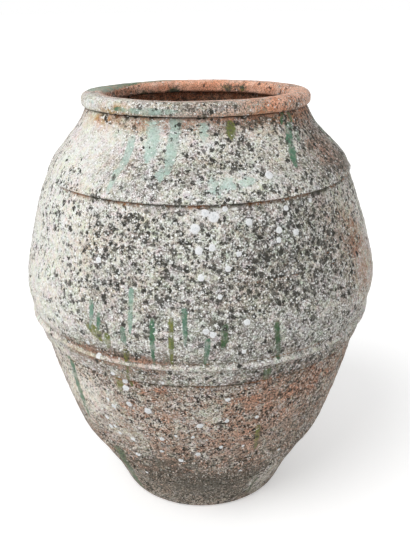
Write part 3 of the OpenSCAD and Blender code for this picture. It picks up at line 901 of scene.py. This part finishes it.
# Colours and strengths of each finish
plainLook = {
    "coolClay": "aa9b91", "hotClay": "c0937b", "grain": 1.2,
    "crustLight": "f0ede9", "crustShaded": "8f8a82", "fleck": 0.9, "grit": 0.64,
    "black": "373631", "large": 1.06, "middle": 0.80, "fine": 0.60, "pale": 0.36,
    "ochre": "d8b47e", "rose": "dcb8a4",
    "brown": "594d42", "dirtAndShade": "4f4b43", "moss": "46453a", "rust": "82583a", "glazeCover": 0.96,
    "white": "f5f6f7", "grey": "d4d9dc", "speck": "f4f5f3",
}
looks = {
    "base_clay": {**plainLook, "coolClay": "a2978a", "hotClay": "bd9f8a", "crustShaded": "8f887c",
                  "black": "26241f", "grain": 3.0, "grit": 0.55, "large": 0.8, "middle": 1.2, "fine": 1.2, "pale": 0.62,
                  "speck": "cfc7bb"},
    "lower_clay": {**plainLook, "coolClay": "baa99b", "hotClay": "cea38a", "crustLight": "f3efe9", "crustShaded": "a0968a",
                   "black": "26211d", "brown": "3e332b", "grain": 1.5, "grit": 0.40, "large": 0.40, "middle": 1.50, "fine": 1.70,
                   "pale": 0.62, "speck": "ece6dd"},
    "band_clay": plainLook,
    "belly_clay": plainLook,
    "shoulder_clay": plainLook,
    "neck_clay": {**plainLook, "hotClay": "d39b7c"},
    "rim_clay": {**plainLook, "coolClay": "e8d8cd", "hotClay": "efb799", "grain": 0.9, "large": 0.16,
                 "middle": 0.42, "fine": 0.55, "pale": 0.5},
}


def placeGroup(tree, group, values):
    node = addNode(tree, "ShaderNodeGroup", node_tree=group)
    for key, value in values.items():
        if isinstance(value, bpy.types.NodeSocket):
            tree.links.new(value, node.inputs[key])
        else:
            node.inputs[key].default_value = value
    return node.outputs


def weatheredMaterial(name, look):
    # From the clay out: pale crust, rose and ochre stains, glaze, brown and black lichen in three sizes, grime and
    # painted shade, pale specks, rosettes
    material = bpy.data.materials.new(name)
    material.use_nodes = True
    tree = material.node_tree
    tree.nodes.clear()
    place = addNode(tree, "ShaderNodeTexCoord").outputs["Object"]
    share = {key: addNode(tree, "ShaderNodeAttribute", attribute_name=key).outputs["Fac"]
             for key in ("crust", "grey", "black", "soot", "warm", "ochre", "run", "tone", "spot", "recess", "worn")}
    clay = placeGroup(tree, groups["clay"], {
        "Place": place, "Cool": fromHex(look["coolClay"]), "Hot": fromHex(look["hotClay"]),
        "Warmth": share["warm"], "Grain": look["grain"]})
    crust = placeGroup(tree, groups["crust"], {
        "Place": place, "Color": clay["Color"], "Light": fromHex(look["crustLight"]),
        "Shaded": fromHex(look["crustShaded"]), "Share": maths(tree, "ADD", share["crust"], share["worn"]),
        "Grey": share["grey"], "Fleck": look["fleck"], "Grit": look["grit"]})
    patchy = noise(tree, place, 55, 4, 0.7, 3.3)
    rose = maths(tree, "MULTIPLY", share["warm"], ramp(tree, patchy, 0.35, 0.70, 0.0, 0.9), clamp=True)
    stained = mixColor(tree, rose, crust["Color"], fromHex(look["rose"]), "MULTIPLY")
    ochre = maths(tree, "MULTIPLY", share["ochre"], ramp(tree, noise(tree, place, 90, 4, 0.7, 7.9), 0.3, 0.6), clamp=True)
    stained = mixColor(tree, ochre, stained, fromHex(look["ochre"]), "MULTIPLY")
    glaze = placeGroup(tree, groups["glaze"], {
        "Place": place, "Color": stained, "Run": share["run"], "Tone": share["tone"], "Cover": look["glazeCover"]})
    color = glaze["Color"]
    # worn adds crust and clears spots and film along the bead: pale wear, partly a painted highlight
    bare = maths(tree, "SUBTRACT", ramp(tree, glaze["Mask"], 0.0, 0.8, 1.0, 0.25),
                 maths(tree, "MULTIPLY", share["worn"], 0.9), clamp=True)
    masks = []
    for size, scale, drift, shade in (("fine", 310.0, 0.6, "brown"), ("middle", 155.0, 1.1, "black"),
                                      ("large", 88.0, 1.3, "black")):
        chance = maths(tree, "MULTIPLY", maths(tree, "MULTIPLY", share["black"], look[size]), bare)
        spots = placeGroup(tree, groups["spots"], {
            "Place": place, "Color": color, "Dark": fromHex(look[shade]), "Share": chance,
            "Scale": scale, "Drift": drift})
        color = spots["Color"]
        masks.append(spots["Mask"])
    soot = maths(tree, "SUBTRACT", share["soot"], maths(tree, "MULTIPLY", share["worn"], 0.5), clamp=True)
    grimeAndShade = placeGroup(tree, groups["grimeAndShade"], {
        "Place": place, "Color": color, "DirtAndShade": fromHex(look["dirtAndShade"]), "Moss": fromHex(look["moss"]),
        "Rust": fromHex(look["rust"]), "Share": soot,
        "Recess": share["recess"]})
    specks = placeGroup(tree, groups["spots"], {
        "Place": place, "Color": grimeAndShade["Color"], "Dark": fromHex(look["speck"]),
        "Share": maths(tree, "MULTIPLY", maths(tree, "MULTIPLY", share["crust"], look["pale"]), bare),
        "Scale": 265.0, "Drift": 0.8})
    rosettes = placeGroup(tree, groups["rosettes"], {
        "Place": place, "Color": specks["Color"], "White": fromHex(look["white"]),
        "Grey": fromHex(look["grey"]), "Spot": share["spot"]})
    height = maths(tree, "ADD", clay["Height"], maths(tree, "MULTIPLY", crust["Height"], 0.9))
    height = maths(tree, "ADD", height, maths(tree, "MULTIPLY", maths(tree, "MAXIMUM", masks[1], masks[2]), 0.35))
    height = maths(tree, "ADD", height, maths(tree, "MULTIPLY", rosettes["Mask"], 0.6))
    bump = addNode(tree, "ShaderNodeBump", {"Strength": 0.7, "Distance": 0.0018, "Height": height}).outputs[0]
    roughness = ramp(tree, glaze["Mask"], 0.0, 1.0, 0.88, 0.40, smooth=False)
    shader = addNode(tree, "ShaderNodeBsdfPrincipled", {
        "Base Color": rosettes["Color"], "Roughness": roughness, "Normal": bump, "Specular IOR Level": 0.25})
    end = addNode(tree, "ShaderNodeOutputMaterial")
    tree.links.new(shader.outputs[0], end.inputs["Surface"])
    return material


materials = {slot: weatheredMaterial(slot, look) for slot, look in looks.items()}
print("stage: materials ready")


# Pieces of the jar

joints = {"floorTop": 0.028, "foot": 0.128, "lower": 0.290, "upper": 0.610, "neck": 0.843, "neckTop": 0.873}
band = {"low": 0.407, "tall": 0.050, "proud": 0.004, "seat": 0.006, "beadProud": 0.0025, "beadTall": 0.012}
ledge = {"height": 0.740, "radius": 0.310, "step": 0.004, "run": 0.034, "round": 0.003, "skirt": 0.009, "lap": 0.016}
rim = {"outer": 0.231, "mouth": 0.186, "top": 0.900, "round": 0.013, "underRound": 0.008,
       "mouthRound": 0.013, "mouthUnderRound": 0.008}
baseRound = 0.010
rimCovers = {
    "grey": {"base": 0.10, "patches": [(-2, 20, 24, 70, 0.55), (-70, 40, 25, 80, -0.2)]},
    "crust": {"base": 0.36, "patches": [(-5, 30, 34, 70, 0.30), (36, 10, 16, 70, -0.16), (-62, 40, 34, 80, 0.34), (-55, -25, 26, 50, 0.35), (40, 20, 14, 60, 0.12),
                                        (180, 180, 90, 60, -0.40), (0, 180, 60, 60, -0.2)]},
    "black": {"base": 0.30, "patches": [(-40, -20, 26, 60, -0.30), (2, 10, 26, 80, 0.55), (48, 0, 22, 60, 0.45), (-52, 20, 30, 90, -0.34),
                                        (180, 170, 80, 60, -0.25), (28, 40, 8, 60, -0.25)]},
    "soot": {"base": 0.06, "patches": [(0, 20, 22, 60, 0.30), (196, 205, 6, 45, 0.70), (158, 186, 5, 45, 0.60),
                                       (147, 186, 5, 45, 0.60), (219, 220, 8, 40, 0.60), (208, 225, 12, 22, 0.45), (-112, 190, 20, 40, 0.45),
                                       (58, 0, 10, 60, 0.30)]},
    "warm": {"base": 0.55, "patches": [(38, 30, 16, 80, 0.50), (-2, 20, 22, 80, -0.45), (-60, 20, 34, 90, -0.50), (-50, -30, 26, 50, -0.30),
                                       (180, 170, 90, 70, 0.40), (100, 60, 30, 80, 0.20)]},
    "ochre": {"base": 0.0, "patches": [(-38, -40, 14, 40, 0.75), (5, 40, 22, 50, 0.25), (30, -40, 24, 30, 0.60), (-39, -5, 9, 34, 0.95)]},
    "run": {"base": -1.0, "patches": [(-23, -12, 10, 30, 1.60), (-38, -8, 8, 26, 1.0), (-100, 105, 21, 60, 1.85),
                                      (-122, 104, 18, 44, 1.75), (-148, 96, 26, 24, 1.70), (-12, -8, 9, 24, 1.2), (196, 215, 5, 36, 1.6),
                                      (158, 186, 4, 40, 1.5), (147, 186, 3, 40, 1.5), (218, 226, 5, 30, 1.4), (-58, 20, 6, 24, 1.1)]},
    "tone": {"base": 0.08, "patches": [(-39, 0, 6, 40, 0.30), (196, 150, 12, 60, 0.84), (155, 150, 12, 60, 0.84),
                                       (143, 150, 12, 60, 0.84), (218, 190, 12, 60, 0.84), (-125, 90, 40, 60, 0.30)]},
}


def seatAcross(z, outward, seat=0.0):
    # The flat seat of a joint, from the outer skin to the inner one, or back when outward is set
    ends = np.concatenate([outerPoints(np.array([z]), -seat), innerPoints(np.array([z]))])
    line = resample(ends, meshSteps["seat"])
    if outward:
        return section(line[::-1], (0.0, 1.0), (1.0, 0.0))
    return section(line, (1.0, 0.0), (0.0, 1.0))


def outside(z0, z1, proud=0.0):
    return section(outerPoints(evenSteps(z0, z1, meshSteps["outside"]), proud))


def inside(z0, z1):
    return section(innerPoints(evenSteps(z0, z1, meshSteps["inside"])), 0.0, 1.0)


def makeFloorSlab():
    side = outerPoints(np.array([baseRound]))[0]
    t = np.linspace(0, 1, 7)[:, None]
    radius = jarOutline["radii"][0]
    edge = (np.array([radius - baseRound, 0]) * (1 - t) ** 2 + np.array([radius, 0]) * 2 * t * (1 - t)
            + side * t ** 2)
    underside = np.stack([evenSteps(0.004, radius - baseRound, 0.012), np.zeros(16)], axis=-1)
    top = joints["floorTop"]
    innerFoot = innerPoints(np.array([top]))[0][0]
    rise = outerPoints(evenSteps(baseRound, top, 0.002))
    seatLine = resample(np.array([rise[-1], [innerFoot, top]]), meshSteps["seat"])
    floorLine = np.stack([np.linspace(innerFoot, 0.004, 24), np.full(24, top)], axis=-1)
    piece = turnedPiece("floor_slab_clay", [
        section(underside, 0.0), section(edge, (0.0, 1.0)), section(rise), section(seatLine, (1.0, 0.0)),
        section(floorLine, 0.0, (0.0, 0.6))], materials["base_clay"], poles=True)
    return piece


def makeFootWall():
    top = joints["floorTop"]
    rise = outerPoints(np.array([top]))[0]
    innerFoot = innerPoints(np.array([top]))[0][0]
    seatLine = resample(np.array([[innerFoot, top], rise]), meshSteps["seat"])
    return turnedPiece("foot_wall_clay", [
        outside(top, joints["foot"]), seatAcross(joints["foot"], False), inside(joints["foot"], top),
        section(seatLine, (0.0, 1.0))], materials["base_clay"])


def makeMiddleRing(name, z0, z1, material):
    return turnedPiece(name, [
        outside(z0, z1), seatAcross(z1, False), inside(z1, z0), seatAcross(z0, True)], material)


def makeLowerBelly():
    middle = band["low"] + band["tall"] / 2
    return turnedPiece("lower_belly_clay", [
        outside(joints["lower"], band["low"]), outside(band["low"], middle, -band["seat"]),
        seatAcross(middle, False, band["seat"]), inside(middle, joints["lower"]),
        seatAcross(joints["lower"], True)], materials["lower_clay"])


def makeBand():
    # The strap's face stands proud, and its upper edge swells into a rounded bead
    top = band["low"] + band["tall"]
    beadFoot = top - band["beadTall"]
    t = np.linspace(0, 1, 13)[1:]
    bead = outerPoints(beadFoot + band["beadTall"] * t,
                       band["proud"] * (1 - t ** 3) + band["beadProud"] * np.sin(math.pi * t))
    face = outerPoints(evenSteps(band["low"], beadFoot, 0.0018), band["proud"])
    lip = resample(np.array([outerPoints(band["low"])[()], face[0]]), 0.001)
    return turnedPiece("belly_band_clay", [
        section(lip), section(face), section(bead), section(outerPoints(evenSteps(top, band["low"], 0.004), -band["seat"])),
    ], materials["band_clay"])


def makeBellyWall():
    middle = band["low"] + band["tall"] / 2
    top = band["low"] + band["tall"]
    return turnedPiece("belly_wall_clay", [
        outside(middle, top, -band["seat"]), outside(top, joints["upper"]),
        seatAcross(joints["upper"], False), inside(joints["upper"], middle),
        seatAcross(middle, True, band["seat"])], materials["belly_clay"])


lapLine = np.array([[ledge["radius"] - ledge["skirt"], ledge["height"]],
                    [ledge["radius"] - ledge["skirt"] - 0.001, ledge["height"] + ledge["lap"]]])


def makeUpperBelly():
    top = ledge["height"] + ledge["lap"]
    shelf = np.array([[ledge["radius"], ledge["height"]], lapLine[0]])
    innerTop = innerPoints(np.array([top]))
    return turnedPiece("upper_belly_clay", [
        outside(joints["upper"], ledge["height"]), section(resample(shelf, 0.003), (1.0, 0.0)),
        section(resample(lapLine, 0.004), 0.0), section(resample(np.concatenate([lapLine[1:], innerTop]), 0.006), 0.0),
        inside(top, joints["upper"]), seatAcross(joints["upper"], True)], materials["belly_clay"])


def makeShoulder():
    # The skirt's lip stands out over the belly wall and runs out into the shoulder above it
    edge = ledge["radius"] + ledge["step"]
    low = ledge["height"]
    lip = corner((edge - ledge["round"], low + ledge["round"]), ledge["round"], -90, 0, 6)
    z = evenSteps(low + ledge["round"], joints["neck"], meshSteps["outside"])
    proud = ledge["step"] * np.clip(1 - (z - low) / ledge["run"], 0, 1) ** 2
    top = low + ledge["lap"]
    innerTop = innerPoints(np.array([top]))
    under = np.array([lapLine[0], lip[0]])
    return turnedPiece("shoulder_clay", [
        section(lip), section(outerPoints(z, proud)), seatAcross(joints["neck"], False),
        inside(joints["neck"], top), section(resample(np.concatenate([innerTop, lapLine[1:]]), 0.006), 0.0),
        section(resample(lapLine[::-1], 0.004), 0.0), section(resample(under, 0.003), (0.0, 1.0))],
        materials["shoulder_clay"])


def makeNeck():
    low, top = joints["neck"], joints["neckTop"]
    innerTop = innerPoints(np.array([top]))[0][0]
    outerTop = wallRadius(np.array([top]))[0]
    seatLine = resample(np.array([[outerTop, top], [innerTop, top]]), 0.006)
    return turnedPiece("neck_ring_clay", [
        outside(low, top), section(seatLine, (1.0, 0.0), (0.0, 1.0)), inside(top, low), seatAcross(low, True)],
        materials["neck_clay"])


def makeRim():
    # The roll's section is a closed loop of four rounded corners; it is pushed along its own normal
    z0, z1 = joints["neckTop"], rim["top"]
    loop = np.concatenate([
        corner((rim["outer"] - rim["underRound"], z0 + rim["underRound"]), rim["underRound"], -90, 0, 8),
        corner((rim["outer"] - rim["round"], z1 - rim["round"]), rim["round"], 0, 90, 12),
        corner((rim["mouth"] + rim["mouthRound"], z1 - rim["mouthRound"]), rim["mouthRound"], 90, 180, 8),
        corner((rim["mouth"] + rim["mouthUnderRound"], z0 + rim["mouthUnderRound"]), rim["mouthUnderRound"], 180, 270, 5)])
    skin = resample(loop, 0.0020)
    seatLine = resample(np.array([skin[-1], skin[0]]), 0.006)

    def directions(rows):
        ahead = np.roll(rows, -1, axis=0) - np.roll(rows, 1, axis=0)
        normal = np.stack([ahead[:, 1], -ahead[:, 0]], axis=-1)
        return normal / np.maximum(np.linalg.norm(normal, axis=1, keepdims=True), 1e-9)

    def marks(values, rows, angle, base):
        # Where the growths and the glaze sit on the roll: each patch has an angle, a place round the roll
        # (0 at its outer side, 90 on top, 180 at the mouth), half widths of both in degrees, and what it adds
        middle = ((rim["outer"] + rim["mouth"]) / 2, (z0 + z1) / 2)
        aside = np.hypot(base[:, 0], base[:, 1]) - middle[0]
        round_ = np.degrees(np.arctan2(base[:, 2] - middle[1], aside * 0.6))
        degrees = np.degrees(angle)
        for key, cover in rimCovers.items():
            value = np.full(len(base), cover["base"])
            for patchAngle, place, wide, tall, add in cover["patches"]:
                turn = (degrees - patchAngle + 180) % 360 - 180
                lean = (round_ - place + 180) % 360 - 180
                value = value + add * np.exp(-(turn / wide) ** 2 - (lean / tall) ** 2)
            if key not in ("run", "tone"):
                value = np.clip(value + cover.get("mottle", 0.15) * clayNoise(base, 0.09, 70 + len(key), 2), 0, 1)
            values[key] = value
        # Along the foot of the roll's outer side, recess adds dirt and painted shade under the roll
        values["recess"] = 0.55 * np.clip(1 - (base[:, 2] - z0) / 0.004, 0, 1) * (aside > 0)
        values["spot"][:] = -1.0

    return turnedPiece("rim_roll_clay", [section(skin), section(seatLine, (1.0, 1.0))],
                       materials["rim_clay"], directions=directions, marks=marks)


pieces = {
    "floor_slab": makeFloorSlab(),
    "foot_wall": makeFootWall(),
    "lower_wall": makeMiddleRing("lower_wall_clay", joints["foot"], joints["lower"], materials["lower_clay"]),
    "lower_belly_wall": makeLowerBelly(),
    "belly_band": makeBand(),
    "belly_wall": makeBellyWall(),
    "upper_belly_wall": makeUpperBelly(),
    "shoulder_wall": makeShoulder(),
    "neck_ring": makeNeck(),
    "rim_roll": makeRim(),
}
for row in frame["record"]["subparts"]:
    piece = pieces[row["node"]]
    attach(piece, "root")
    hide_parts(row["node"])


# Stage: a pale floor that keeps the jar's soft shadow, a white surround and a soft key from the left

studio = {"floorSize": 60.0, "surround": 0.60, "keyStrength": 1.60, "keySoftness": 40.0,
          "keyTurn": -48.0, "keyHeight": 48.0, "floorGlow": 0.36}


def makeFloor():
    half = studio["floorSize"] / 2
    mesh = bpy.data.meshes.new("floor")
    mesh.from_pydata([(-half, -half, 0), (half, -half, 0), (half, half, 0), (-half, half, 0)], [], [(0, 1, 2, 3)])
    floor = bpy.data.objects.new("floor", mesh)
    bpy.context.collection.objects.link(floor)
    material = bpy.data.materials.new("paleFloor")
    material.use_nodes = True
    tree = material.node_tree
    tree.nodes.clear()
    matte = addNode(tree, "ShaderNodeBsdfDiffuse", {"Color": (0.86, 0.86, 0.86, 1)})
    glow = addNode(tree, "ShaderNodeEmission", {"Color": (1, 1, 1, 1)})
    path = addNode(tree, "ShaderNodeLightPath")
    seen = maths(tree, "MAXIMUM", path.outputs["Is Camera Ray"],
                 maths(tree, "MAXIMUM", path.outputs["Is Glossy Ray"], path.outputs["Is Transmission Ray"]))
    tree.links.new(maths(tree, "MULTIPLY", seen, studio["floorGlow"]), glow.inputs["Strength"])
    both = addNode(tree, "ShaderNodeAddShader", {0: matte.outputs[0], 1: glow.outputs[0]})
    end = addNode(tree, "ShaderNodeOutputMaterial")
    tree.links.new(both.outputs[0], end.inputs["Surface"])
    mesh.materials.append(material)


def makeSurround():
    world = bpy.data.worlds.new("surround")
    world.use_nodes = True
    tree = world.node_tree
    tree.nodes.clear()
    path = addNode(tree, "ShaderNodeLightPath")
    seen = maths(tree, "MAXIMUM", path.outputs["Is Camera Ray"],
                 maths(tree, "MAXIMUM", path.outputs["Is Glossy Ray"], path.outputs["Is Transmission Ray"]))
    strength = addNode(tree, "ShaderNodeMapRange", {"Value": seen, "To Min": studio["surround"], "To Max": 1.0})
    sky = addNode(tree, "ShaderNodeBackground", {"Color": (1, 1, 1, 1), "Strength": strength.outputs[0]})
    end = addNode(tree, "ShaderNodeOutputWorld")
    tree.links.new(sky.outputs[0], end.inputs["Surface"])
    bpy.context.scene.world = world


def makeKeyLight():
    lamp = bpy.data.lights.new("key", "SUN")
    lamp.energy = studio["keyStrength"]
    lamp.angle = math.radians(studio["keySoftness"])
    key = bpy.data.objects.new("key", lamp)
    bpy.context.collection.objects.link(key)
    turn = Matrix.Rotation(math.radians(studio["keyTurn"]), 4, "Z")
    tip = Matrix.Rotation(math.radians(90 - studio["keyHeight"]), 4, "X")
    key.matrix_world = turn @ tip


makeCamera()
makeFloor()
makeSurround()
makeKeyLight()
bpy.context.scene.view_settings.view_transform = "Standard"
print("stage: floor, surround, key light and camera ready")
